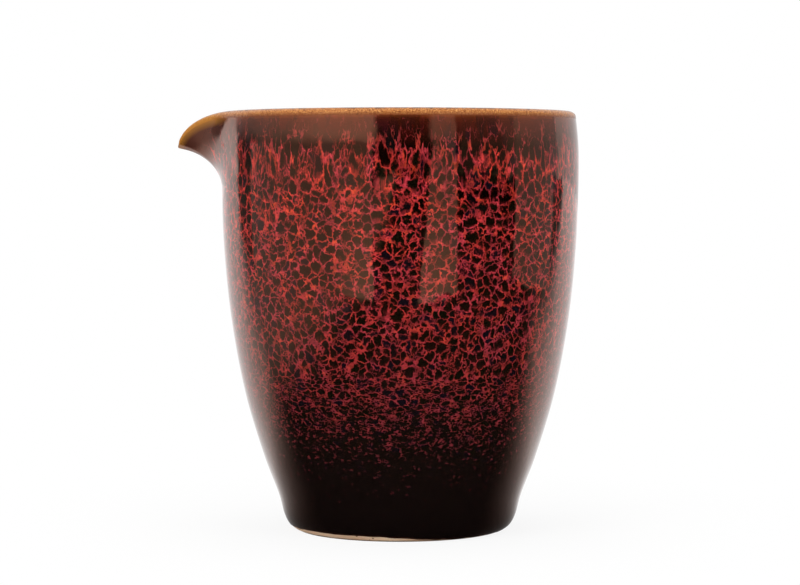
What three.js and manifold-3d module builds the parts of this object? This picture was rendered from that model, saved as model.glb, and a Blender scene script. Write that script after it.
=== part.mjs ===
// A small stoneware tea pitcher: a thrown cup on a low foot ring, with a beak drawn out and down
// from its rim, and a thick glaze fused over everything but the foot. Millimetres, +Z up.
// The beak points along -X. The origin is the middle of the pitcher's outline on the plane it stands on.

import * as THREE from "three";
import { mergeVertices } from "three/addons/utils/BufferGeometryUtils.js";
import Module from "manifold-3d";

const wasm = await Module();
wasm.setup();

// Driving dimensions of the cup
const height = 85;
const widestRadius = 36.3;
const outline = [
  // height, radius: the glazed outside, from the edge it stands on up to the roll of the lip
  [0, 21.1],
  [1.1, 22.6],
  [3.2, 23.7],
  [7, 24.75],
  [14.8, 27.7],
  [27.5, 31.5],
  [42.4, 34.3],
  [57, 35.8],
  [70, widestRadius],
  [78, widestRadius - 0.03],
  [height - 1, widestRadius - 0.6],
];
const lipThickness = 3;
const lipRoll = 1; // how far the rounded top of the lip rises above the straight wall
const lipBand = 0.5; // how far the amber lip glaze runs down each side below the roll
const wallAtHeel = 4.6; // whole wall where the inside turns into the floor
const floorTop = 7;
const floorFlatRadius = 12;
const heelHeight = 17; // where the inside wall starts to turn into the floor

// Driving dimensions of the foot
const footInnerRadius = 17.4;
const footRecess = 2.5; // depth of the hollow under the floor
const glazeLine = 0.9; // the glaze stops this far above the table

// Driving dimensions of the beak
const beakReach = 45.2; // from the cup's axis to the tip
const beakDroop = 6.1; // how far the tip hangs below the lip
const beakRoot = 69.8; // height on the wall where the pull starts
const beakSide = THREE.MathUtils.degToRad(5.5); // the pull falls off evenly as far as this to either side
const beakFillet = THREE.MathUtils.degToRad(5.5); // and then dies out softly, the slower the larger this is
const beakTip = THREE.MathUtils.degToRad(2); // the tip is rounded over this much to either side
const beakOutEase = 1.62; // 1 would pull the wall out evenly from root to lip, more keeps the pull near the lip
const beakDownEase = 2.06; // the same for the droop
const beakEdgeRound = 0.03; // share of the pulled height over which the pull eases off under the lip
const beakNose = 1.76; // the lip's line from the side: 1 is a straight slope to the tip, 2 a quarter ellipse
const beakThickening = 0.45; // how much less the inside of the wall droops, for each millimetre of its depth
const beakNarrowing = 0.04; // how much narrower the beak is inside, as a share for each millimetre of depth
const seamHalfWidth = 13.8; // the beak is joined to the wall along a U of this size
const seamBottom = 67.5;

// The coats and the room left between pieces that are fused together in the real pitcher
const coat = 0.5;
const gap = 0.3;

const meridians = 48;
const crowding = 0.8; // how strongly the meridians gather at the beak, from 0 to 1

const lipStart = height - lipRoll;
const radiusCurve = new THREE.CubicInterpolant(
  outline.map(([z]) => z),
  outline.map(([, radius]) => radius),
  1,
);

function outerRadius(z) {
  return radiusCurve.evaluate(Math.min(z, lipStart))[0];
}

function innerRadius(z) {
  const share = THREE.MathUtils.inverseLerp(heelHeight, lipStart, z);
  return outerRadius(z) - THREE.MathUtils.lerp(wallAtHeel, lipThickness, share);
}

// Heights from one level to another, without the first; ease above 1 crowds them towards the first.
function steps(from, to, count, ease = 1) {
  return Array.from({ length: count }, (_, i) =>
    THREE.MathUtils.lerp(from, to, ((i + 1) / count) ** ease),
  );
}

// The glazed skin is one line from the glaze's lower edge, up the outside, over the lip and down to the axis.
const bandHeight = lipStart - lipBand;
const beakHeights = [...steps(beakRoot, bandHeight - gap, 6), bandHeight];
const outside = [glazeLine, ...steps(glazeLine, beakRoot, 11, 2), ...beakHeights].map(
  (z) => new THREE.Vector2(outerRadius(z), z),
);
const roll = new THREE.EllipseCurve(
  outerRadius(lipStart) - lipThickness / 2,
  lipStart,
  lipThickness / 2,
  lipRoll,
  0,
  Math.PI,
).getPoints(6);
const inside = [...beakHeights.toReversed(), ...steps(beakRoot, heelHeight, 5)].map(
  (z) => new THREE.Vector2(innerRadius(z), z),
);
const heel = new THREE.QuadraticBezierCurve(
  new THREE.Vector2(innerRadius(heelHeight), heelHeight),
  new THREE.Vector2(innerRadius(heelHeight) - 2.5, floorTop),
  new THREE.Vector2(floorFlatRadius, floorTop),
)
  .getPoints(5)
  .slice(1);
const skin = [...outside, ...roll, ...inside, ...heel, new THREE.Vector2(0, floorTop)];
const lipFrom = outside.length - 1;
const lipTo = outside.length + roll.length;

// The skin moved into the wall by a depth, point by point.
function layer(depth) {
  return skin.map((point, i) => {
    const before = skin[Math.max(i - 1, 0)];
    const after = skin[Math.min(i + 1, skin.length - 1)];
    const along = after.clone().sub(before).normalize();
    return new THREE.Vector2(point.x - along.y * depth, point.y + along.x * depth);
  });
}

const glazeBack = layer(coat);
const clayFace = layer(coat + gap);

// Follows x where x is well above 0, and dies out softly below it.
function softRamp(x) {
  return Math.log1p(Math.exp(x));
}

// Moves a point of the thrown cup to where it lies once the beak is pulled.
function pull(radius, z, angle) {
  const depth = outerRadius(z) - radius;
  const share = THREE.MathUtils.clamp((z - beakRoot) / (lipStart - beakRoot), 0, 1);
  const whole = Math.hypot(1, beakEdgeRound);
  const raised = (whole - Math.hypot(1 - share, beakEdgeRound)) / (whole - beakEdgeRound);
  const aside = Math.hypot(angle * (1 + beakNarrowing * depth), beakTip) - beakTip;
  const out = softRamp((beakSide - aside) / beakFillet) / softRamp(beakSide / beakFillet);
  const down = 1 - (1 - out ** beakNose) ** (1 / beakNose);
  return [
    -radius * Math.cos(angle) - raised ** beakOutEase * out * (beakReach - outerRadius(lipStart)),
    -radius * Math.sin(angle),
    z - raised ** beakDownEase * down * (beakDroop - beakThickening * depth),
  ];
}

// Turns a closed profile round the axis, with the beak pulled out of it.
function turned(profile) {
  const geometry = new THREE.LatheGeometry(profile, meridians);
  const position = geometry.getAttribute("position");
  for (let i = 0; i < position.count; i++) {
    const turn = ((Math.floor(i / profile.length) % meridians) / meridians) * 2 * Math.PI;
    const angle = turn - crowding * Math.sin(turn);
    const signed = angle > Math.PI ? angle - 2 * Math.PI : angle;
    const { x: radius, y: z } = profile[i % profile.length];
    position.setXYZ(i, ...pull(radius, z, signed));
  }
  return closed(geometry);
}

function closed(geometry) {
  geometry.deleteAttribute("normal");
  geometry.deleteAttribute("uv");
  return mergeVertices(geometry, 1e-3);
}

function loop(points) {
  return [...points, points[0]];
}

function coatBetween(first, last) {
  return turned(
    loop([...skin.slice(first, last + 1), ...glazeBack.slice(first, last + 1).reverse()]),
  );
}

function solid(geometry) {
  return new wasm.Manifold(
    new wasm.Mesh({
      numProp: 3,
      vertProperties: geometry.getAttribute("position").array,
      triVerts: new Uint32Array(geometry.index.array),
    }),
  );
}

function geometryOf(manifold) {
  const { vertProperties, triVerts } = manifold.getMesh();
  return new THREE.BufferGeometry()
    .setAttribute("position", new THREE.BufferAttribute(vertProperties, 3))
    .setIndex(new THREE.BufferAttribute(triVerts, 1));
}

// A U-shaped block that reaches in from the beak's side, round the piece of wall the beak is pulled from.
function seamBlock(halfWidth) {
  const beyond = 5;
  const above = height + beyond;
  const seam = new THREE.Shape();
  seam.moveTo(halfWidth, above);
  seam.lineTo(-halfWidth, above);
  seam.absarc(0, seamBottom + seamHalfWidth, halfWidth, Math.PI, 2 * Math.PI);
  seam.closePath();
  const block = new THREE.ExtrudeGeometry(seam, {
    depth: beakReach,
    bevelEnabled: false,
    curveSegments: 10,
  });
  // stood up in the Y-Z plane, so that it runs from near the axis out past the tip
  block.rotateX(Math.PI / 2);
  block.rotateZ(-Math.PI / 2);
  block.translate(-beyond, 0, 0);
  return solid(closed(block));
}

// The thrown wall and floor, in one outline from the axis under the floor to the axis inside
const floorUnder = footRecess + gap;
const clayFrom = skin.findIndex((point) => point.y > floorUnder);
const cupProfile = [
  new THREE.Vector2(0, floorUnder),
  new THREE.Vector2(clayFace[clayFrom - 1].x, floorUnder),
  ...clayFace.slice(clayFrom),
];
const cup = solid(turned(cupProfile));
const wallWithNotch = cup.subtract(seamBlock(seamHalfWidth + gap));
const pulledBeak = cup.intersect(seamBlock(seamHalfWidth));

// The foot ring: bare clay from the table to the glaze line, then up under the glaze to the floor
const footRing = turned(
  loop([
    new THREE.Vector2(footInnerRadius, 0),
    new THREE.Vector2(outerRadius(0), 0),
    new THREE.Vector2(outerRadius(glazeLine / 2), glazeLine / 2),
    ...clayFace.slice(0, clayFrom - 1),
    new THREE.Vector2(clayFace[clayFrom - 1].x - gap, footRecess),
    new THREE.Vector2(footInnerRadius - gap, footRecess),
  ]),
);

const fired = new THREE.MeshStandardMaterial({ color: "#c8a587", roughness: 0.85, metalness: 0 });
const kilnGlaze = new THREE.MeshStandardMaterial({ color: "#4a1716", roughness: 0.12, metalness: 0 });
const lipAmber = new THREE.MeshStandardMaterial({ color: "#bf7c45", roughness: 0.3, metalness: 0 });
const liner = new THREE.MeshStandardMaterial({ color: "#3a1c14", roughness: 0.15, metalness: 0 });

const pitcher = new THREE.Group();
const vessel = new THREE.Group();
vessel.position.x = (beakReach - widestRadius) / 2;
pitcher.add(vessel);

function add(name, geometry, material) {
  const mesh = new THREE.Mesh(geometry, material);
  mesh.name = name;
  vessel.add(mesh);
}

add("clay_cup", geometryOf(wallWithNotch), fired);
add("clay_beak", geometryOf(pulledBeak), fired);
add("foot_ring", footRing, fired);
add("outer_glaze", coatBetween(0, lipFrom - 1), kilnGlaze);
add("lip_glaze", coatBetween(lipFrom, lipTo), lipAmber);
add("inner_glaze", coatBetween(lipTo + 1, skin.length - 1), liner);

export default pitcher;
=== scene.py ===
import math
from functools import cache

import bmesh
import bpy
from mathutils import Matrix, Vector
from mathutils.geometry import interpolate_bezier
from mathutils.noise import noise


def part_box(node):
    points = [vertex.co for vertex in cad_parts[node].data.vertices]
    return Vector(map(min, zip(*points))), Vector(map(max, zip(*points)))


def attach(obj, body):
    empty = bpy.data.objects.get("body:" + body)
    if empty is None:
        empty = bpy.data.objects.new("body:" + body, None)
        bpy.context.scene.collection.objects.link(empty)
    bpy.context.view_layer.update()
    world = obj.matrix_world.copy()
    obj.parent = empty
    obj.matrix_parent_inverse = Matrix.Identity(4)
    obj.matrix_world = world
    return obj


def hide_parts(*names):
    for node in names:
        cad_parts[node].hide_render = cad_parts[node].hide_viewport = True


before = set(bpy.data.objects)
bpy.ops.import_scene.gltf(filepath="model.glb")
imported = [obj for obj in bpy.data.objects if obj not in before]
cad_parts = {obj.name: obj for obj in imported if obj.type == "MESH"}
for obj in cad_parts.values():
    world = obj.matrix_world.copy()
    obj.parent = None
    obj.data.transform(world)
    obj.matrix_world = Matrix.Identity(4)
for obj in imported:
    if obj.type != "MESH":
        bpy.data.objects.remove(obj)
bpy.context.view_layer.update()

MM = 0.001

# The view: a long lens a little below the level of the lip, tipped down to the middle of the pitcher.
# The cup's own axis stands in the middle of the picture, so the beak takes the room on the left.
foot_low, foot_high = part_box("foot_ring")
axis_x = (foot_low.x + foot_high.x) / 2
camera_distance = 511 * MM
camera_height = 72 * MM
camera_tilt = math.radians(2.67)
camera_data = bpy.data.cameras.new("camera")
camera_data.sensor_width = 36
camera_data.lens = 112.7
camera = bpy.data.objects.new("camera", camera_data)
camera.location = (axis_x, -camera_distance, camera_height)
camera.rotation_euler = (math.pi / 2 - camera_tilt, 0, 0)
bpy.context.scene.collection.objects.link(camera)
bpy.context.scene.camera = camera
bpy.context.scene.view_settings.view_transform = "Standard"


# The clay cup and the clay beak: thrown from pale tan stoneware, the beak pulled from the soft wall. They
# are hidden under the glaze, except for the underside of the floor. Their solids are right, so they stay.
def linear(hex_colour):
    """An sRGB colour such as "c8a587" as the linear red, green, blue and alpha that the shaders take."""
    channels = [int(hex_colour[i:i + 2], 16) / 255 for i in (0, 2, 4)]
    return [c / 12.92 if c <= 0.04045 else ((c + 0.055) / 1.055) ** 2.4 for c in channels] + [1.0]


def add(tree, kind, inputs=(), stops=(), **settings):
    """Adds a shader node with its settings and links, and a colour ramp's stops.

    The inputs, in order or by name, are values, outputs, or nodes, of which the first output is linked."""
    node = tree.nodes.new("ShaderNode" + kind)
    for name, value in settings.items():
        setattr(node, name, value)
    for _ in stops[2:]:
        node.color_ramp.elements.new(1.0)
    for i, (position, colour) in enumerate(stops):
        node.color_ramp.elements[i].position = position
        node.color_ramp.elements[i].color = linear(colour)
    in_use = [socket for socket in node.inputs if socket.enabled]
    by_name = {socket.name: socket for socket in in_use}
    for key, value in inputs.items() if isinstance(inputs, dict) else enumerate(inputs):
        socket = by_name[key] if isinstance(key, str) else in_use[key]
        if isinstance(value, bpy.types.Node):
            value = next(output for output in value.outputs if output.enabled)
        if isinstance(value, bpy.types.NodeSocket):
            tree.links.new(value, socket)
        else:
            socket.default_value = value
    return node


def new_material(name):
    """An empty node-based material and its tree."""
    material = bpy.data.materials.new(name)
    material.use_nodes = True
    material.node_tree.nodes.clear()
    return material, material.node_tree


# Bare stoneware, fired hard and left matt: sand grains, a little flashing from the kiln, iron specks, the
# fine rings that the turning tool leaves as the foot is trimmed, and painted shade darkening the lowest
# edge where it stands.
bare_stoneware, tree = new_material("bare_stoneware")
sand_grain = 0.3 * MM
iron_spacing = 1.6 * MM
flashing_size = 12 * MM
ring_spacing = 0.7 * MM
place = add(tree, "TexCoord").outputs["Object"]
from_axis = add(tree, "VectorMath", [place, (axis_x, 0, 0)], operation="SUBTRACT")
sand = add(tree, "TexNoise", {"Vector": place, "Scale": 1 / sand_grain, "Detail": 3.0})
flashing = add(tree, "TexNoise", {"Vector": place, "Scale": 1 / flashing_size})
iron = add(tree, "TexVoronoi", {"Vector": place, "Scale": 1 / iron_spacing})
rings = add(tree, "TexWave", {
    "Vector": from_axis, "Scale": math.pi / (10 * ring_spacing), "Distortion": 0.4,
}, wave_type="RINGS", rings_direction="Z", wave_profile="SAW")
tan = add(tree, "ValToRGB", [flashing], stops=[(0.35, "dab493"), (0.65, "f0d4b6")])
sandy = add(tree, "Mix", [0.35, tan, sand.outputs["Color"]], data_type="RGBA", blend_type="SOFT_LIGHT")
fleck = add(tree, "MapRange", [iron, 0.10, 0.18, 0.9, 0.0])
flecked = add(tree, "Mix", [fleck, sandy, linear("5d3a26")], data_type="RGBA")
level_here = add(tree, "SeparateXYZ", [place]).outputs["Z"]
# Painted shade: the lowest 0.4 mm of the clay turns dark brown, standing in for the contact shadow
painted_contact_shade = add(tree, "MapRange", [level_here, 0.1 * MM, 0.4 * MM, 0.85, 0.0])
with_painted_shade = add(tree, "Mix", [painted_contact_shade, flecked, linear("5a4030")], data_type="RGBA")
turned = add(tree, "Bump", {"Height": rings, "Strength": 0.4, "Distance": 0.06 * MM})
gritty = add(tree, "Bump", {"Height": sand, "Strength": 0.6, "Distance": 0.05 * MM, "Normal": turned})
clay_shader = add(tree, "BsdfPrincipled", {"Base Color": with_painted_shade, "Roughness": 0.85, "Normal": gritty})
add(tree, "OutputMaterial", [clay_shader])

for name in ("clay_cup", "clay_beak"):
    clay_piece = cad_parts[name]
    clay_piece.data.materials.clear()
    clay_piece.data.materials.append(bare_stoneware)


# The foot ring: the same stoneware, turned to shape with a trimming tool once the cup is leather hard. Its
# flat stands on the table, and only its lower edge stays bare of glaze.
height = 85 * MM
lip_start = 84 * MM
outline = [
    # height and radius of the glazed outside, from the edge it stands on up to the roll of the lip
    (0 * MM, 21.1 * MM),
    (1.1 * MM, 22.6 * MM),
    (3.2 * MM, 23.7 * MM),
    (7 * MM, 24.75 * MM),
    (14.8 * MM, 27.7 * MM),
    (27.5 * MM, 31.5 * MM),
    (42.4 * MM, 34.3 * MM),
    (57 * MM, 35.8 * MM),
    (70 * MM, 36.3 * MM),
    (78 * MM, 36.27 * MM),
    (lip_start, 35.7 * MM),
]
beak_reach = 45.2 * MM
beak_droop = 6.1 * MM
beak_root = 69.8 * MM
beak_side = math.radians(5.5)
beak_fillet = math.radians(5.5)
beak_tip = math.radians(2)
beak_out_ease = 1.62
beak_down_ease = 2.06
beak_edge_round = 0.03
beak_nose = 1.76
beak_thickening = 0.45
beak_narrowing = 0.04 / MM
foot_inner_radius = 17.4 * MM
foot_recess = 2.8 * MM
bare_inset = 0.13 * MM
around = 320


@cache
def slope_at(i):
    """Slope of the outline at one of its points; the ends take no bend."""
    if 0 < i < len(outline) - 1:
        (z_before, r_before), (z_after, r_after) = outline[i - 1], outline[i + 1]
        return (r_after - r_before) / (z_after - z_before)
    inner = 1 if i == 0 else i - 1
    (z_0, r_0), (z_1, r_1) = outline[i], outline[inner]
    return (3 * (r_1 - r_0) / (z_1 - z_0) - slope_at(inner)) / 2


@cache
def outer_radius(z):
    """Radius of the glazed outside at a height, on a smooth curve through the outline's points."""
    z = min(z, lip_start)
    i = max(k for k in range(len(outline) - 1) if outline[k][0] <= z or k == 0)
    (z_0, r_0), (z_1, r_1) = outline[i], outline[i + 1]
    share = (z - z_0) / (z_1 - z_0)
    rest = 1 - share
    handle_0 = r_0 + slope_at(i) * (z_1 - z_0) / 3
    handle_1 = r_1 - slope_at(i + 1) * (z_1 - z_0) / 3
    ends = r_0 * rest ** 3 + r_1 * share ** 3
    return ends + 3 * rest * share * (handle_0 * rest + handle_1 * share)


def soft_ramp(x):
    """Follows x where x is well above 0, and dies out softly below it."""
    return math.log1p(math.exp(x))


def pull(radius, z, angle):
    """Where a point of the thrown cup lies once the beak is pulled, and how far it was drawn out."""
    depth = outer_radius(z) - radius
    share = min(max((z - beak_root) / (lip_start - beak_root), 0), 1)
    whole = math.hypot(1, beak_edge_round)
    raised = (whole - math.hypot(1 - share, beak_edge_round)) / (whole - beak_edge_round)
    aside = math.hypot(angle * (1 + beak_narrowing * depth), beak_tip) - beak_tip
    out = soft_ramp((beak_side - aside) / beak_fillet) / soft_ramp(beak_side / beak_fillet)
    down = 1 - (1 - out ** beak_nose) ** (1 / beak_nose)
    drawn = raised ** beak_out_ease * out * (beak_reach - outer_radius(lip_start))
    drop = raised ** beak_down_ease * down * (beak_droop - beak_thickening * depth)
    return (axis_x - radius * math.cos(angle) - drawn, -radius * math.sin(angle), z - drop), drawn


def thrown(name, profile, sharp=()):
    """Spins a closed profile of (radius, height) points round the cup's axis and pulls the beak.

    Each point keeps its place before the pull, from the cup's axis, as the attribute "thrown", and how
    far the pull drew it out as "drawn". Round the profile's points named in sharp, the gloss breaks."""
    bm = bmesh.new()
    corners = [bm.verts.new((-radius, 0, z)) for radius, z in profile]
    edges = [bm.edges.new(pair) for pair in zip(corners, corners[1:] + corners[:1])]
    bmesh.ops.spin(bm, geom=corners + edges, cent=(0, 0, 0), axis=(0, 0, 1), angle=2 * math.pi,
                   steps=around, use_merge=True)
    bmesh.ops.remove_doubles(bm, verts=bm.verts, dist=0.001 * MM)
    bmesh.ops.recalc_face_normals(bm, faces=bm.faces)
    for face in bm.faces:
        face.smooth = True
    breaks = {(round(profile[i][0] / MM, 3), round(profile[i][1] / MM, 3)) for i in sharp}
    thrown_layer = bm.verts.layers.float_vector.new("thrown")
    drawn_layer = bm.verts.layers.float.new("drawn")
    for vert in bm.verts:
        radius = math.hypot(vert.co.x, vert.co.y)
        vert.tag = (round(radius / MM, 3), round(vert.co.z / MM, 3)) in breaks
        vert[thrown_layer] = vert.co
    for edge in bm.edges:
        start, end = edge.verts
        edge.smooth = not (start.tag and end.tag and math.isclose(start.co.z, end.co.z, abs_tol=1e-7))
    for vert in bm.verts:
        radius = math.hypot(vert.co.x, vert.co.y)
        vert.co, vert[drawn_layer] = pull(radius, vert.co.z, math.atan2(-vert.co.y, -vert.co.x))
    mesh = bpy.data.meshes.new(name)
    bm.to_mesh(mesh)
    bm.free()
    piece = bpy.data.objects.new(name, mesh)
    bpy.context.scene.collection.objects.link(piece)
    return piece


def arc(centre, radius, start, end, count):
    """Points of a round stretch of a profile, between two angles in degrees."""
    turns = [math.radians(start + (end - start) * i / count) for i in range(count + 1)]
    return [(centre[0] + radius * math.cos(turn), centre[1] + radius * math.sin(turn)) for turn in turns]


edge_round = 0.25 * MM
cove = 1.1 * MM
under_glaze = 0.5 * MM
outer_edge = outer_radius(0) - bare_inset
bare_heights = [0.35 * MM, 0.6 * MM, 0.85 * MM, 1.1 * MM]
foot_profile = [
    *arc((foot_inner_radius - cove, foot_recess - cove), cove, 90, 0, 8),
    *arc((foot_inner_radius + edge_round, edge_round), edge_round, 180, 270, 6),
    *arc((outer_edge - edge_round, edge_round), edge_round, 270, 315, 4),
    *[(outer_radius(z) - bare_inset, z) for z in bare_heights],
    *[(outer_radius(z) - under_glaze, z) for z in (1.6 * MM, 2.2 * MM, foot_recess)],
]
foot = thrown("foot_ring_turned", foot_profile)
foot.data.materials.append(bare_stoneware)
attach(foot, "root")
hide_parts("foot_ring")


# The outer glaze: the thick coat over the wall and the beak. In the kiln it parts into small olive-black
# cells in a net of bright red, runs thin and amber to the lip, and pools nearly black towards the foot.
glaze_line = 0.9 * MM
band_height = 83.5 * MM
coat = 0.5 * MM
lip_thickness = 3 * MM
lip_roll = 1 * MM
wall_at_heel = 4.6 * MM
heel_height = 17 * MM
floor_top = 7 * MM
floor_flat_radius = 12 * MM


def inner_radius(z):
    """Radius of the glazed inside at a height above the heel."""
    share = (z - heel_height) / (lip_start - heel_height)
    return outer_radius(z) - (wall_at_heel + (lip_thickness - wall_at_heel) * share)


def levels(low, high, count):
    """Evenly spaced values from one to another, with both."""
    return [low + (high - low) * i / count for i in range(count + 1)]


def coat_of(skin, thickness):
    """Closes a skin of (radius, height) points into a coat, with the thickness given at each point."""
    back = []
    for i, (radius, z) in enumerate(skin):
        (r_0, z_0), (r_1, z_1) = skin[max(i - 1, 0)], skin[min(i + 1, len(skin) - 1)]
        length = math.hypot(r_1 - r_0, z_1 - z_0)
        back.append((radius - (z_1 - z_0) / length * thickness[i], z + (r_1 - r_0) / length * thickness[i]))
    return skin + back[::-1]


foot_zone = 4 * MM
outside = [(outer_radius(z), z) for z in (
    levels(glaze_line, foot_zone, 12) + levels(foot_zone, beak_root, 50)[1:]
    + levels(beak_root, band_height, 30)[1:]
)]
thinning = [min(coat, bare_inset + (coat - bare_inset) * (z - glaze_line) / (1.2 * MM)) for _, z in outside]
outer = thrown("outer_glaze_fired", coat_of(outside, thinning), sharp=(0, len(outside) - 1))

# The glaze's lower edge is uneven. It leaves the most clay bare at the left, and on the right it runs down
# nearly to the table.
rise_at_left = 0.26 * MM
most_run = 0.88 * MM
unevenness = 0.14 * MM
for vert in outer.data.vertices:
    if vert.co.z < foot_zone:
        heading = Vector((vert.co.x - axis_x, vert.co.y, 0)).normalized()
        rightness = min(max((heading.x + 0.3) / 0.8, 0), 1)
        run = most_run * rightness ** 2 * (3 - 2 * rightness)
        lift = rise_at_left + unevenness * noise(heading * 9) - run
        settled = vert.co.z + lift * (foot_zone - vert.co.z) / (foot_zone - glaze_line)
        vert.co += heading * (outer_radius(settled) - outer_radius(vert.co.z))
        vert.co.z = settled


def kiln_glaze(name, bands, net_from, net_to):
    """A kiln-change glaze. The bands are its ground colours from the lip down, by share of the height, and
    its red net lies between two depths below the lip."""
    material, tree = new_material(name)
    thrown_at = add(tree, "Attribute", attribute_name="thrown").outputs["Vector"]
    drawn = add(tree, "Attribute", attribute_name="drawn").outputs["Fac"]
    thrown_height = add(tree, "SeparateXYZ", [thrown_at]).outputs["Z"]
    depth = add(tree, "Math", [height, thrown_height], operation="SUBTRACT")

    # Where on the pitcher: the direction from the axis, laid on one radius so that the cells shrink with
    # the wall towards the foot, and the depth below the lip. Near the lip the glaze ran, so the pattern
    # passes slowly there and its cells are over twice as tall. Near the foot they are half as tall.
    cell = 1.8 * MM
    fine_cell = 1.05 * MM
    pattern_radius = 36 * MM
    run_depth = 15 * MM
    crowded_depth = 52 * MM
    pace_at_lip = 0.38
    pace_at_foot = 1.9
    level = add(tree, "VectorMath", [thrown_at, (1, 1, 0)], operation="MULTIPLY")
    heading = add(tree, "VectorMath", [level], operation="NORMALIZE")
    ring = add(tree, "VectorMath", [heading, pattern_radius], operation="SCALE")
    slowly = add(tree, "Math", [depth, pace_at_lip], operation="MULTIPLY")
    below_run = add(tree, "Math", [depth, run_depth], operation="SUBTRACT")
    settled = add(tree, "Math", [below_run, 0.0, 9 * MM], operation="SMOOTH_MAX")
    stretched = add(tree, "Math", [settled, 1 - pace_at_lip, slowly], operation="MULTIPLY_ADD")
    past = add(tree, "Math", [depth, crowded_depth], operation="SUBTRACT")
    crowded = add(tree, "Math", [past, 0.0], operation="MAXIMUM")
    fall = add(tree, "Math", [crowded, pace_at_foot - 1, stretched], operation="MULTIPLY_ADD")
    fallen = add(tree, "CombineXYZ", {"Z": fall})
    flat = add(tree, "VectorMath", [ring, fallen], operation="SUBTRACT")

    # The melt drifted, which crowds the cells in some places, spreads them in others and frays the walls
    drift_size, drift_reach = 4 * MM, 2.6 * MM
    fray_size, fray_reach = 0.6 * MM, 1.2 * MM
    drift = add(tree, "TexNoise", {"Vector": flat, "Scale": 1 / drift_size, "Detail": 2.0})
    centred = add(tree, "VectorMath", [drift.outputs["Color"], (0.5, 0.5, 0.5)], operation="SUBTRACT")
    adrift = add(tree, "VectorMath", [centred, (drift_reach,) * 3, flat], operation="MULTIPLY_ADD")
    fray = add(tree, "TexNoise", {"Vector": flat, "Scale": 1 / fray_size, "Detail": 2.0})
    to_side = add(tree, "VectorMath", [fray.outputs["Color"], (0.5, 0.5, 0.5)], operation="SUBTRACT")
    place = add(tree, "VectorMath", [to_side, (fray_reach,) * 3, adrift], operation="MULTIPLY_ADD")

    # Two nets of cells, with the distance to the nearest wall in millimetres, and where each point lies
    # in its cell, from -0.5 at the foot of the cell to 0.5 at its top
    here = add(tree, "SeparateXYZ", [place]).outputs["Z"]
    walls, rises, bodies = [], [], []
    for size in (cell, fine_cell):
        edge = add(tree, "TexVoronoi", {"Vector": place, "Scale": 1 / size}, feature="DISTANCE_TO_EDGE")
        walls.append(add(tree, "Math", [edge, size / MM], operation="MULTIPLY"))
        body = add(tree, "TexVoronoi", {"Vector": place, "Scale": 1 / size})
        middle = add(tree, "SeparateXYZ", [body.outputs["Position"]]).outputs["Z"]
        above = add(tree, "Math", [here, middle], operation="SUBTRACT")
        rises.append(add(tree, "Math", [above, size], operation="DIVIDE"))
        bodies.append(body)

    # Small cells take over under the lip, in patches, and where the net breaks up
    patch_size = 3.5 * MM
    patches = add(tree, "TexNoise", {"Vector": flat, "Scale": 1 / patch_size, "Detail": 1.0})
    under_lip = add(tree, "MapRange", [depth, 4 * MM, 16 * MM, 0.28, 0.04])
    breaking = add(tree, "MapRange", [depth, 48 * MM, 62 * MM, 0.0, 0.24])
    more = add(tree, "Math", [under_lip, breaking], operation="ADD")
    finer = add(tree, "Math", [patches, more], operation="ADD")
    fine = add(tree, "MapRange", [finer, 0.66, 0.71])
    wall = add(tree, "Mix", [fine, *walls])
    rise = add(tree, "Mix", [fine, *rises])

    # Thin walls, beaded, stouter in places and where three cells meet, and in the glaze that ran fainter
    # at the top of each cell. Their width is in millimetres too
    lump_size = 1.7 * MM
    glow_size = 1.9 * MM
    bead_size = 0.45 * MM
    ran = add(tree, "MapRange", [depth, 10 * MM, 26 * MM, 1.0, 0.0])
    lumps = add(tree, "TexNoise", {"Vector": flat, "Scale": 1 / lump_size, "Detail": 2.0})
    stout = add(tree, "MapRange", [lumps, 0.4, 0.7, 0.045, 0.17])
    meeting = add(tree, "MapRange", [bodies[0], 0.55, 0.85, 0.0, 0.13])
    width = add(tree, "Math", [stout, meeting], operation="ADD")
    near = add(tree, "Math", [wall, width], operation="DIVIDE")
    glow = add(tree, "TexNoise", {"Vector": flat, "Scale": 1 / glow_size, "Detail": 2.0})
    vivid = add(tree, "MapRange", [glow, 0.35, 0.6, 0.45, 1.0], interpolation_type="SMOOTHSTEP")
    beads = add(tree, "TexNoise", {"Vector": flat, "Scale": 1 / bead_size, "Detail": 1.0})
    beaded = add(tree, "MapRange", [beads, 0.35, 0.6, 0.6, 1.05])
    line = add(tree, "MapRange", [near, 0.45, 1.3, 1.0, 0.0], interpolation_type="SMOOTHSTEP")
    sagging = add(tree, "MapRange", [rise, 0.35, -0.3, 0.45, 1.0])
    slanted = add(tree, "Mix", [ran, 1.0, sagging])
    lit = add(tree, "Math", [vivid, slanted], operation="MULTIPLY")
    broken = add(tree, "Math", [lit, beaded], operation="MULTIPLY")
    net = add(tree, "Math", [line, broken], operation="MULTIPLY")

    # Red that hangs in the lower end of each cell and trails upwards in fine streaks, five times as tall
    # as they are wide, and a haze of it beside the walls
    streak_width = 0.55 * MM
    upright = add(tree, "VectorMath", [flat, (1, 1, 1 / 5)], operation="MULTIPLY")
    streaks = add(tree, "TexNoise", {"Vector": upright, "Scale": 1 / streak_width, "Detail": 1.0})
    streak = add(tree, "MapRange", [streaks, 0.35, 0.65])
    hanging = add(tree, "MapRange", [rise, -0.12, -0.6], interpolation_type="SMOOTHSTEP")
    strength = add(tree, "Mix", [ran, 0.2, 0.55])
    trail = add(tree, "Math", [hanging, strength], operation="MULTIPLY")
    smear = add(tree, "Math", [trail, streak], operation="MULTIPLY")
    beside = add(tree, "MapRange", [wall, 0.0, 0.28, 0.3, 0.0])
    haze = add(tree, "Math", [beside, vivid], operation="MULTIPLY")
    soft = add(tree, "Math", [smear, haze], operation="MAXIMUM")
    red = add(tree, "Math", [net, soft], operation="MAXIMUM")

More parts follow.
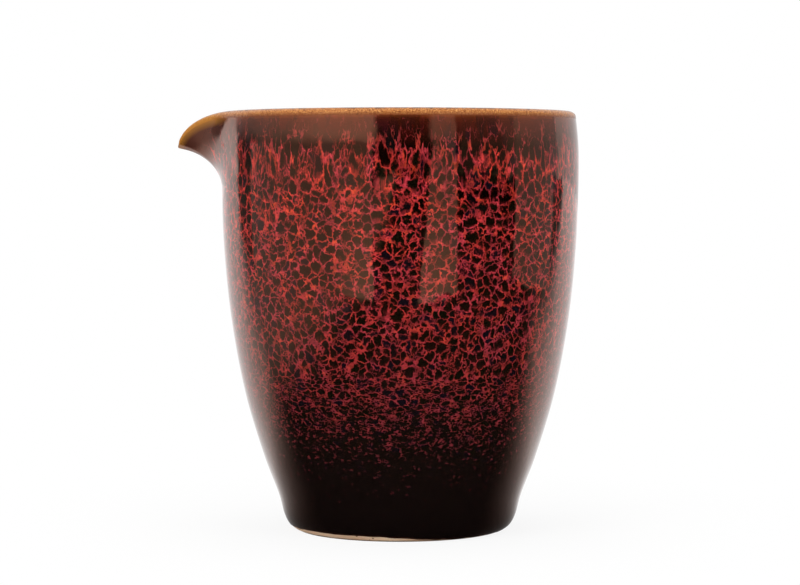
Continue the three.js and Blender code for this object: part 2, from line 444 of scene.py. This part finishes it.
    # How much of the net there is, from its first flecks under the lip to where it breaks up and dies out.
    # It stays on the wall, with only a few flecks on the beak
    gap_size = 1.3 * MM
    begins = add(tree, "MapRange", [depth, net_from, net_from + 8 * MM, 0.4, 1.0])
    gaps = add(tree, "TexNoise", {"Vector": flat, "Scale": 1 / gap_size})
    dying = add(tree, "MapRange", [depth, 0.5 * net_to, net_to, 0.0, 0.75])
    left_over = add(tree, "Math", [gaps, dying], operation="SUBTRACT")
    lasts = add(tree, "MapRange", [left_over, -0.12, 0.25], interpolation_type="SMOOTHSTEP")
    on_wall = add(tree, "MapRange", [drawn, 1 * MM, 5.5 * MM, 1.0, 0.0])
    lasting = add(tree, "Math", [lasts, on_wall], operation="MULTIPLY")
    present = add(tree, "Math", [begins, lasting], operation="MULTIPLY")
    kept = add(tree, "Math", [red, present], operation="ADD")
    shown = add(tree, "Math", [kept, 1.0], operation="SUBTRACT", use_clamp=True)

    # Colours: the ground by depth, cells a little olive or violet, amber thickening to maroon down the
    # beak's flank, and the red from deep to orange, pale at its start and darker lower down, partly where
    # it dies out and partly as painted shade
    hue_size = 4 * MM
    share = add(tree, "Math", [depth, height], operation="DIVIDE")
    ground = add(tree, "ValToRGB", [share], stops=bands)
    tint = add(tree, "SeparateColor", [bodies[0].outputs["Color"]])
    some_olive = add(tree, "MapRange", [tint.outputs["Red"], 0.3, 0.9])
    olive = add(tree, "Mix", [some_olive, ground, linear("0e0c05")], data_type="RGBA")
    some_violet = add(tree, "MapRange", [tint.outputs["Green"], 0.75, 1.0, 0.0, 0.7])
    violet = add(tree, "Mix", [some_violet, olive, linear("0e0b17")], data_type="RGBA")
    celled = add(tree, "Mix", [present, ground, violet], data_type="RGBA")
    on_beak = add(tree, "MapRange", [drawn, 0.3 * MM, 2 * MM])
    thickening = add(tree, "MapRange", [depth, 1.2 * MM, 3 * MM])
    beak_ground = add(tree, "Mix", [thickening, linear("a06a28"), linear("46241d")], data_type="RGBA")
    base = add(tree, "Mix", [on_beak, celled, beak_ground], data_type="RGBA")
    hues = add(tree, "TexNoise", {"Vector": flat, "Scale": 1 / hue_size})
    some_rose = add(tree, "MapRange", [hues, 0.4, 0.62])
    deep = add(tree, "Mix", [some_rose, linear("dc3c36"), linear("d23e4a")], data_type="RGBA")
    hot = add(tree, "MapRange", [stout, 0.1, 0.17])
    core = add(tree, "MapRange", [near, 0.2, 0.9, 1.0, 0.0])
    orange = add(tree, "Math", [hot, core], operation="MULTIPLY")
    bright = add(tree, "Mix", [orange, deep, linear("f4502c")], data_type="RGBA")
    # The red darkens from 14 mm below the lip downwards: partly the net dying out, partly painted shade
    dimming_and_painted_shade = add(tree, "MapRange", [depth, 14 * MM, 0.85 * net_to, 0.0, 0.9])
    dimmed_and_shaded = add(tree, "Mix", [dimming_and_painted_shade, bright, linear("54242c")], data_type="RGBA")
    pale_start = add(tree, "MapRange", [depth, net_from + 1 * MM, net_from + 8 * MM, 0.9, 0.0])
    net_colour = add(tree, "Mix", [pale_start, dimmed_and_shaded, linear("8c3a38")], data_type="RGBA")
    coloured = add(tree, "Mix", [shown, base, net_colour], data_type="RGBA")

    # The surface: wet gloss over the slow waves that the melt froze in
    wave_size = 3 * MM
    wave_depth = 0.03 * MM
    waves = add(tree, "TexNoise", {"Vector": thrown_at, "Scale": 1 / wave_size, "Detail": 1.0})
    wavy = add(tree, "Bump", {"Height": waves, "Distance": wave_depth})
    roughness = add(tree, "MapRange", [waves, 0.3, 0.7, 0.03, 0.07])

    # Iron in the melt makes its gloss stronger than that of clear glass, and tints it copper
    copper = (1.0, 0.44, 0.27, 1.0)
    shader = add(tree, "BsdfPrincipled", {
        "Base Color": coloured, "IOR": 1.6, "Specular IOR Level": 1.0, "Specular Tint": copper,
        "Roughness": roughness, "Normal": wavy,
    })
    add(tree, "OutputMaterial", [shader])
    return material


outer_bands = [
    (0.0, "b87444"), (0.017, "743818"), (0.024, "501c0d"), (0.035, "42120a"), (0.055, "330b07"),
    (0.09, "0e0402"), (0.21, "080201"), (0.30, "140804"), (0.48, "180b06"), (0.70, "150d0a"),
    (0.985, "100a09"), (0.99, "3a2014"),
]
kiln_change_glaze = kiln_glaze("kiln_change_glaze", outer_bands, 1.5 * MM, 81 * MM)
outer.data.materials.append(kiln_change_glaze)
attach(outer, "root")
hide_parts("outer_glaze")


# The lip glaze: the same glaze where it runs off the rounded lip and the beak's edge, thin enough for the
# clay to turn it amber, with grains of the clay's sand and dark iron showing through.
band_levels = levels(band_height, lip_start, 4)
roll_centre = outer_radius(lip_start) - lip_thickness / 2
roll = [(roll_centre + lip_thickness / 2 * math.cos(turn), lip_start + lip_roll * math.sin(turn))
        for turn in levels(0, math.pi, 24)]
over_the_lip = ([(outer_radius(z), z) for z in band_levels[:-1]] + roll
                + [(inner_radius(z), z) for z in band_levels[-2::-1]])
lip = thrown("lip_glaze_fired", coat_of(over_the_lip, [coat] * len(over_the_lip)),
             sharp=(0, len(over_the_lip) - 1))

amber_glaze, tree = new_material("amber_glaze")
grain = 0.28 * MM
blotch_size = 1.1 * MM
straw = (1.0, 0.8, 0.6, 1.0)
thrown_at = add(tree, "Attribute", attribute_name="thrown").outputs["Vector"]
drawn = add(tree, "Attribute", attribute_name="drawn").outputs["Fac"]
grains = add(tree, "TexNoise", {"Vector": thrown_at, "Scale": 1 / grain, "Detail": 1.0})
blotches = add(tree, "TexNoise", {"Vector": thrown_at, "Scale": 1 / blotch_size, "Detail": 1.0})
height_here = add(tree, "SeparateXYZ", [thrown_at]).outputs["Z"]
amber = add(tree, "ValToRGB", [grains], stops=[
    (0.30, "7c4422"), (0.45, "b06c38"), (0.58, "bf7c44"), (0.70, "dc9c5a"),
])
low = add(tree, "MapRange", [height_here, band_height, lip_start + 0.3 * MM, 1.0, 0.0])
browned = add(tree, "Mix", [low, amber, linear("6a3018")], data_type="RGBA")
golden = add(tree, "MapRange", [drawn, 0.5 * MM, 3 * MM, 0.0, 0.75])
beak_amber = add(tree, "Mix", [golden, browned, linear("b87a2e")], data_type="RGBA")
crest = add(tree, "MapRange", [height_here, height - 0.35 * MM, height - 0.15 * MM, 0.0, 0.3])
worn = add(tree, "Math", [blotches, crest], operation="ADD")
iron_line = add(tree, "MapRange", [worn, 0.76, 0.88, 0.0, 0.85])
lip_colour = add(tree, "Mix", [iron_line, beak_amber, linear("4a2410")], data_type="RGBA")
grainy = add(tree, "Bump", {"Height": grains, "Strength": 0.5, "Distance": 0.04 * MM})
lip_roughness = add(tree, "MapRange", [blotches, 0.3, 0.7, 0.16, 0.34])
lip_shader = add(tree, "BsdfPrincipled", {
    "Base Color": lip_colour, "IOR": 1.5, "Specular IOR Level": 0.35, "Specular Tint": straw,
    "Roughness": lip_roughness, "Normal": grainy,
})
add(tree, "OutputMaterial", [lip_shader])
lip.data.materials.append(amber_glaze)
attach(lip, "root")
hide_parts("lip_glaze")


# The inner glaze: poured in, swirled round and poured out again before the outside was dipped. It lines
# the cup from under the lip, round the heel and across the floor.
heel = [
    Vector((inner_radius(heel_height), heel_height, 0)),
    Vector((inner_radius(heel_height) - 2.5 * MM, floor_top, 0)),
    Vector((floor_flat_radius, floor_top, 0)),
]
heel_handles = [end.lerp(heel[1], 2 / 3) for end in (heel[0], heel[2])]
heel_curve = interpolate_bezier(heel[0], *heel_handles, heel[2], 14)
lining = ([(inner_radius(z), z) for z in levels(band_height, beak_root, 30)]
          + [(inner_radius(z), z) for z in levels(beak_root, heel_height, 36)[1:]]
          + [(point.x, point.y) for point in heel_curve[1:]]
          + [(radius, floor_top) for radius in levels(floor_flat_radius, 0, 8)[1:]])
inner = thrown("inner_glaze_fired", coat_of(lining, [coat] * len(lining)), sharp=(0,))
inner_bands = [
    (0.0, "b87444"), (0.017, "7a3c20"), (0.03, "542012"), (0.05, "3c0f0a"), (0.08, "2c0a07"),
    (0.2, "140604"), (0.55, "160a05"), (1.0, "100604"),
]
lining_glaze = kiln_glaze("lining_glaze", inner_bands, 4 * MM, 96 * MM)
inner.data.materials.append(lining_glaze)
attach(inner, "root")
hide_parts("inner_glaze")


# The studio: a sweep of white paper lit from behind, which falls off to a dark room round the camera, and
# white cards beside the lens and to the right. The wet gloss shows them, and soft lamps light the colours.
def stage_piece(name, bm, material):
    """Makes a mesh of the studio, which isn't part of the pitcher."""
    mesh = bpy.data.meshes.new(name)
    bm.to_mesh(mesh)
    bm.free()
    piece = bpy.data.objects.new(name, mesh)
    piece.data.materials.append(material)
    bpy.context.scene.collection.objects.link(piece)
    return piece


white_sweep, tree = new_material("white_sweep")
falloff = 40 * MM
paper_spread = 1.28
shadow_reach = 110 * MM
card_level = 0.4
rays = add(tree, "LightPath")
place = add(tree, "TexCoord").outputs["Object"]
from_axis = add(tree, "VectorMath", [place, (axis_x, 0, 0)], operation="SUBTRACT")
from_foot = add(tree, "SeparateXYZ", [from_axis])
aside = add(tree, "Math", [from_foot.outputs["X"]], operation="ABSOLUTE")
off_paper = add(tree, "Math", [from_foot.outputs["Y"], -paper_spread, aside], operation="MULTIPLY_ADD")
on_paper = add(tree, "MapRange", [off_paper, -20 * MM, 260 * MM, 1.15, 0.12],
               interpolation_type="SMOOTHSTEP")
lit_from_behind = add(tree, "MapRange", [from_foot.outputs["Y"], -0.5 * falloff, falloff],
                      interpolation_type="SMOOTHSTEP")
glossy_light = add(tree, "Math", [lit_from_behind, on_paper], operation="MULTIPLY")
leftward = add(tree, "Math", [from_foot.outputs["X"], -1.0], operation="MULTIPLY")
towards_card = add(tree, "MapRange", [leftward, 70 * MM, 170 * MM, 0.0, card_level],
                   interpolation_type="SMOOTHSTEP")
past_card = add(tree, "MapRange", [leftward, 320 * MM, 600 * MM, 1.0, 0.0],
                interpolation_type="SMOOTHSTEP")
lit_by_card = add(tree, "Math", [towards_card, past_card], operation="MULTIPLY")
floor_light = add(tree, "Math", [glossy_light, lit_by_card], operation="MAXIMUM")
white = add(tree, "Emission", [(1, 1, 1, 1), 1.0])
sheen = add(tree, "Emission", [(1, 1, 1, 1), floor_light])
paper = add(tree, "BsdfDiffuse", [linear("f8f8f8")])
away = add(tree, "VectorMath", [from_axis], operation="LENGTH")
paper_white = add(tree, "MapRange", [away, foot_inner_radius, shadow_reach, 0.88, 1.0],
                  interpolation_type="SMOOTHSTEP")
for_camera = add(tree, "Math", [rays.outputs["Is Camera Ray"], paper_white], operation="MULTIPLY")
for_gloss = add(tree, "Math", [rays.outputs["Is Glossy Ray"], rays.outputs["Is Transmission Ray"]],
                operation="MAXIMUM")
plain = add(tree, "MixShader", [for_gloss, paper, sheen])
sweep_shader = add(tree, "MixShader", [for_camera, plain, white])
add(tree, "OutputMaterial", [sweep_shader])
floor_bm = bmesh.new()
bmesh.ops.create_grid(floor_bm, x_segments=1, y_segments=1, size=4.0)
stage_piece("floor", floor_bm, white_sweep)

# The cards are brightest low down and next to the lens. Their lines at the foot and at the top are given
# in millimetres from the cup's axis
white_card, tree = new_material("white_card")
card_top = 100 * MM
place = add(tree, "TexCoord").outputs["Object"]
from_axis = add(tree, "VectorMath", [place, (axis_x, 0, 0)], operation="SUBTRACT")
on_card = add(tree, "SeparateXYZ", [from_axis])
aside = add(tree, "Math", [on_card.outputs["X"]], operation="ABSOLUTE")
by_lens = add(tree, "MapRange", [aside, 90 * MM, 180 * MM, 0.45, 0.0])
low_down = add(tree, "MapRange", [on_card.outputs["Z"], 0.0, 80 * MM, 1.0, 0.0])
extra = add(tree, "Math", [by_lens, low_down], operation="MULTIPLY")
card_glow = add(tree, "Math", [extra, card_level], operation="ADD")
card_light = add(tree, "Emission", [(1, 1, 1, 1), card_glow])
add(tree, "OutputMaterial", [card_light])
left_card = ([(-57, -200), (-320, -200), (-320, 85)], [(-57, -200), (-320, -200), (-320, 85)])
right_card = ([(38, -200), (140, -200)], [(72, -200), (125, -200)])
side_card = ([(320, -90), (320, 115)], [(320, -90), (320, 115)])
cards = {"left_card": left_card, "right_card": right_card, "side_card": side_card}
for name, (foot_line, top_line) in cards.items():
    card_bm = bmesh.new()
    below = [card_bm.verts.new((axis_x + x * MM, y * MM, 0)) for x, y in foot_line]
    above = [card_bm.verts.new((axis_x + x * MM, y * MM, card_top)) for x, y in top_line]
    for i in range(len(below) - 1):
        card_bm.faces.new((below[i], below[i + 1], above[i + 1], above[i]))
    card = stage_piece(name, card_bm, white_card)
    card.visible_camera = False
    card.visible_diffuse = False
    card.visible_shadow = False

# The room, going round from behind the pitcher by the left, the lens and the right: first as it is at the
# level of the pitcher, then as it is higher up, where the lamps' covers light the walls. To the right of
# the lens a dark doorway with a rounded top reaches up into that
world = bpy.data.worlds.new("studio")
bpy.context.scene.world = world
world.use_nodes = True
tree = world.node_tree
tree.nodes.clear()
room_brightness = 1.6
fill_level = 0.45
rays = add(tree, "LightPath")
direction = add(tree, "TexCoord").outputs["Generated"]
turned_round = add(tree, "Mapping", {"Vector": direction, "Rotation": (0, 0, math.pi / 2)})
azimuth = add(tree, "TexGradient", [turned_round], gradient_type="RADIAL").outputs["Fac"]
low_room = add(tree, "ValToRGB", [azimuth], stops=[
    (0.0, "ececec"), (0.150, "ececec"), (0.154, "3f3f3f"), (0.20, "3f3f3f"), (0.231, "787878"),
    (0.442, "787878"), (0.456, "000000"), (0.60, "000000"), (0.608, "4a4a4a"), (0.69, "525252"),
    (0.73, "888888"), (0.831, "909090"), (0.836, "bcbcbc"), (1.0, "c9c9c9"),
])
high_room = add(tree, "ValToRGB", [azimuth], stops=[
    (0.0, "c0c0c0"), (0.111, "c8c8c8"), (0.161, "c8c8c8"), (0.167, "a3a3a3"), (0.208, "a3a3a3"),
    (0.283, "b6b6b6"), (0.35, "dddddd"), (0.45, "dddddd"), (0.461, "000000"), (0.55, "000000"),
    (0.558, "b0b0b0"), (0.598, "a8a8a8"), (0.604, "7a7a7a"), (0.714, "7a7a7a"), (0.722, "a7a7a7"),
    (0.831, "9c9c9c"), (0.836, "d5d5d5"), (1.0, "c0c0c0"),
])
rising = add(tree, "SeparateXYZ", [direction]).outputs["Z"]
arch = add(tree, "ValToRGB", [azimuth], stops=[
    (0.0, "000000"), (0.598, "000000"), (0.604, "808080"), (0.65, "7a7a7a"), (0.68, "5a5a5a"),
    (0.70, "000000"),
])
over_arch = add(tree, "Math", [rising, arch], operation="SUBTRACT")
high = add(tree, "MapRange", [over_arch, 0.05, 0.19], interpolation_type="SMOOTHSTEP")
room = add(tree, "Mix", [high, low_room, high_room], data_type="RGBA")
seen_gloss = add(tree, "Background", [room, room_brightness])
seen_plain = add(tree, "Background", [(1, 1, 1, 1), 1.0])
soft_fill = add(tree, "Background", [(1, 1, 1, 1), fill_level])
in_gloss = add(tree, "Math", [rays.outputs["Is Glossy Ray"], rays.outputs["Is Transmission Ray"]],
               operation="MAXIMUM")
for_gloss = add(tree, "MixShader", [in_gloss, soft_fill, seen_gloss])
for_camera = add(tree, "MixShader", [rays.outputs["Is Camera Ray"], for_gloss, seen_plain])
add(tree, "OutputWorld", [for_camera])

for name, place, size, power in (
    ("key_lamp", (-0.55, -0.65, 0.55), 0.5, 4.2),
    ("fill_lamp", (0.6, -0.6, 0.4), 0.5, 2.6),
    ("top_lamp", (0.0, 0.1, 0.9), 0.6, 3.0),
):
    lamp_data = bpy.data.lights.new(name, "AREA")
    lamp_data.size = size
    lamp_data.energy = power
    lamp = bpy.data.objects.new(name, lamp_data)
    lamp.location = place
    towards = Vector((axis_x, 0, height / 2)) - Vector(place)
    lamp.rotation_euler = towards.to_track_quat("-Z", "Y").to_euler()
    lamp.visible_glossy = False
    lamp.visible_camera = False
    bpy.context.scene.collection.objects.link(lamp)
